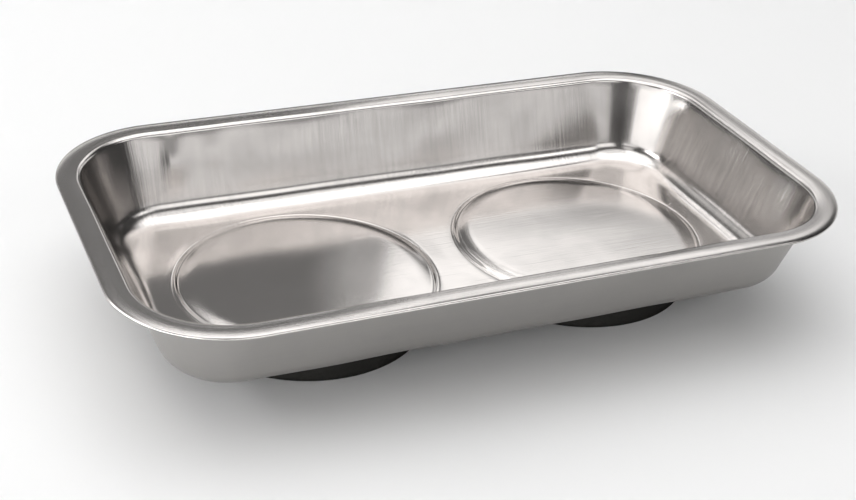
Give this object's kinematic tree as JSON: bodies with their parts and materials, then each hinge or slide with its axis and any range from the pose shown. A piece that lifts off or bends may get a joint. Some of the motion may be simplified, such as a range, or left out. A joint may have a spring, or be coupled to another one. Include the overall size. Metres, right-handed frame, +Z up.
{
  "type": "magnetic parts tray",
  "caption": "Open rectangular stainless steel tray that holds screws and small steel parts, on round rubber-booted magnet bases.",
  "frame": {"origin": "on the bench, under the middle of the tray, level with the lower faces of the rubber boots", "axes": "+X along the tray's length, from the left magnet to the right one, +Y across its width, +Z up out of the open top"},
  "size_m": [0.24, 0.138, 0.0413],
  "materials": {
    "stainless": "satin, drawn and lightly brushed",
    "black_rubber": "matt moulded",
    "ferrite": "matt sintered",
    "plain_steel": "turned",
    "zinc_steel": "bright zinc plated",
    "spring_steel": "dark oiled spring steel"
  },
  "bodies": {
    "root": {"pan": "stainless", "left_weld_boss": "plain_steel", "left_ring_magnet": "ferrite", "left_rubber_boot": "black_rubber", "left_clamp_washer": "zinc_steel", "left_lock_washer": "spring_steel", "left_screw": "zinc_steel", "right_weld_boss": "plain_steel", "right_ring_magnet": "ferrite", "right_rubber_boot": "black_rubber", "right_clamp_washer": "zinc_steel", "right_lock_washer": "spring_steel", "right_screw": "zinc_steel"}
  },
  "joints": []
}
